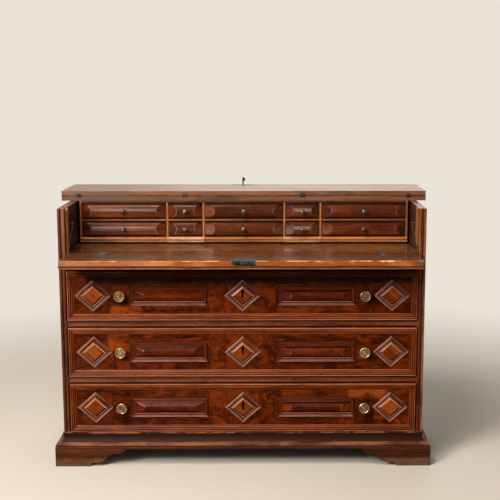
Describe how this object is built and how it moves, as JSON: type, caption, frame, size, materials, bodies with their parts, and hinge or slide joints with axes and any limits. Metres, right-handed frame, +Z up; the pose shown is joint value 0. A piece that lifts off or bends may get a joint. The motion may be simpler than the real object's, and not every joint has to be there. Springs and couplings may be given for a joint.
{
  "type": "secretaire chest",
  "caption": "Walnut secretaire chest with a fold-over top, a writing fall, a nest of small drawers and long drawers with mitred mouldings.",
  "frame": {"origin": "middle of the footprint of the whole part, fall let down, on the floor under the feet", "axes": "+X to the chest's left as it faces the viewer's right, +Y towards its back, +Z up; the front faces -Y"},
  "size_m": [1.58, 0.7814, 1.1583],
  "materials": {
    "walnut": "waxed walnut, worn along the edges",
    "walnut_dark": "dark dull walnut",
    "walnut_worn": "walnut mouldings worn lighter on their tops",
    "walnut_burl": "polished figured walnut veneer",
    "poplar": "plain unpolished softwood",
    "iron": "old wrought iron",
    "brass": "aged brass"
  },
  "bodies": {
    "case": {"side_left": "walnut", "side_right": "walnut", "back_panel": "poplar", "bottom_board": "walnut_dark", "writing_floor": "walnut", "top_rail": "walnut", "drawer_rails": "walnut", "drawer_runners": "poplar", "plinth_front": "walnut_dark", "plinth_sides": "walnut_dark", "front_foot_left": "walnut_worn", "front_foot_right": "walnut_worn", "rear_feet": "walnut_dark", "fall_stops": "walnut", "top_rear": "walnut", "lid_hinges_fixed": "iron", "lid_hinge_pins": "iron", "fall_hinges_fixed": "iron", "fall_hinge_pins": "iron", "stay_eyes": "iron", "nest_base": "walnut", "nest_ends": "walnut_worn", "nest_top": "walnut_worn", "nest_dividers": "walnut_worn", "nest_shelves": "walnut_worn"},
    "top_flap": {"lid_flap": "walnut", "lid_hinges_moving": "iron", "lid_hasp": "iron"},
    "fall_front": {"fall_board": "walnut", "fall_mouldings": "walnut_worn", "fall_lock": "iron", "fall_hinges_moving": "iron", "stay_studs": "iron"},
    "left_stay": {"stay_left": "iron"},
    "right_stay": {"stay_right": "iron"},
    "long_drawer_1": {"long_1_box": "poplar", "long_1_front": "walnut_burl", "long_1_mouldings": "walnut_worn", "long_1_knobs": "brass", "long_1_lock": "iron"},
    "long_drawer_2": {"long_2_box": "poplar", "long_2_front": "walnut_burl", "long_2_mouldings": "walnut_worn", "long_2_knobs": "brass", "long_2_lock": "iron"},
    "long_drawer_3": {"long_3_box": "poplar", "long_3_front": "walnut_burl", "long_3_mouldings": "walnut_worn", "long_3_knobs": "brass", "long_3_lock": "iron"},
    "small_drawer_1": {"small_1": "walnut_burl"},
    "small_drawer_2": {"small_2": "walnut_burl"},
    "small_drawer_3": {"small_3": "walnut_burl"},
    "small_drawer_4": {"small_4": "walnut_burl"},
    "small_drawer_5": {"small_5": "walnut_burl"},
    "small_drawer_6": {"small_6": "walnut_burl"},
    "small_drawer_7": {"small_7": "walnut_burl"},
    "small_drawer_8": {"small_8": "walnut_burl"},
    "small_drawer_9": {"small_9": "walnut_burl"},
    "small_drawer_10": {"small_10": "walnut_burl"}
  },
  "joints": [
    {"name": "top_flap_hinge", "type": "hinge", "parent": "case", "child": "top_flap", "pos_m": [0, 0.068, 1.1013], "axis": [-1, 0, 0], "range_deg": [-180, 0]},
    {"name": "fall_front_hinge", "type": "hinge", "parent": "case", "child": "fall_front", "pos_m": [0, -0.20425, 0.892], "axis": [1, 0, 0], "range_deg": [-90, 0]},
    {"name": "left_stay_hinge", "type": "hinge", "parent": "case", "child": "left_stay", "pos_m": [-0.709, -0.10825, 1.004], "axis": [1, 0, 0], "range_deg": [-198, 0]},
    {"name": "right_stay_hinge", "type": "hinge", "parent": "case", "child": "right_stay", "pos_m": [0.709, -0.10825, 1.004], "axis": [1, 0, 0], "range_deg": [-198, 0]},
    {"name": "long_drawer_1_slide", "type": "slide", "parent": "case", "child": "long_drawer_1", "axis": [0, -1, 0], "range_m": [0, 0.4]},
    {"name": "long_drawer_2_slide", "type": "slide", "parent": "case", "child": "long_drawer_2", "axis": [0, -1, 0], "range_m": [0, 0.4]},
    {"name": "long_drawer_3_slide", "type": "slide", "parent": "case", "child": "long_drawer_3", "axis": [0, -1, 0], "range_m": [0, 0.4]},
    {"name": "small_drawer_1_slide", "type": "slide", "parent": "case", "child": "small_drawer_1", "axis": [0, -1, 0], "range_m": [0, 0.18]},
    {"name": "small_drawer_2_slide", "type": "slide", "parent": "case", "child": "small_drawer_2", "axis": [0, -1, 0], "range_m": [0, 0.18]},
    {"name": "small_drawer_3_slide", "type": "slide", "parent": "case", "child": "small_drawer_3", "axis": [0, -1, 0], "range_m": [0, 0.18]},
    {"name": "small_drawer_4_slide", "type": "slide", "parent": "case", "child": "small_drawer_4", "axis": [0, -1, 0], "range_m": [0, 0.18]},
    {"name": "small_drawer_5_slide", "type": "slide", "parent": "case", "child": "small_drawer_5", "axis": [0, -1, 0], "range_m": [0, 0.18]},
    {"name": "small_drawer_6_slide", "type": "slide", "parent": "case", "child": "small_drawer_6", "axis": [0, -1, 0], "range_m": [0, 0.18]},
    {"name": "small_drawer_7_slide", "type": "slide", "parent": "case", "child": "small_drawer_7", "axis": [0, -1, 0], "range_m": [0, 0.18]},
    {"name": "small_drawer_8_slide", "type": "slide", "parent": "case", "child": "small_drawer_8", "axis": [0, -1, 0], "range_m": [0, 0.18]},
    {"name": "small_drawer_9_slide", "type": "slide", "parent": "case", "child": "small_drawer_9", "axis": [0, -1, 0], "range_m": [0, 0.18]},
    {"name": "small_drawer_10_slide", "type": "slide", "parent": "case", "child": "small_drawer_10", "axis": [0, -1, 0], "range_m": [0, 0.18]}
  ],
  "couplings": [
    {"joint": "left_stay_hinge", "follows": "fall_front_hinge", "ratio": 2.2},
    {"joint": "right_stay_hinge", "follows": "fall_front_hinge", "ratio": 2.2}
  ]
}
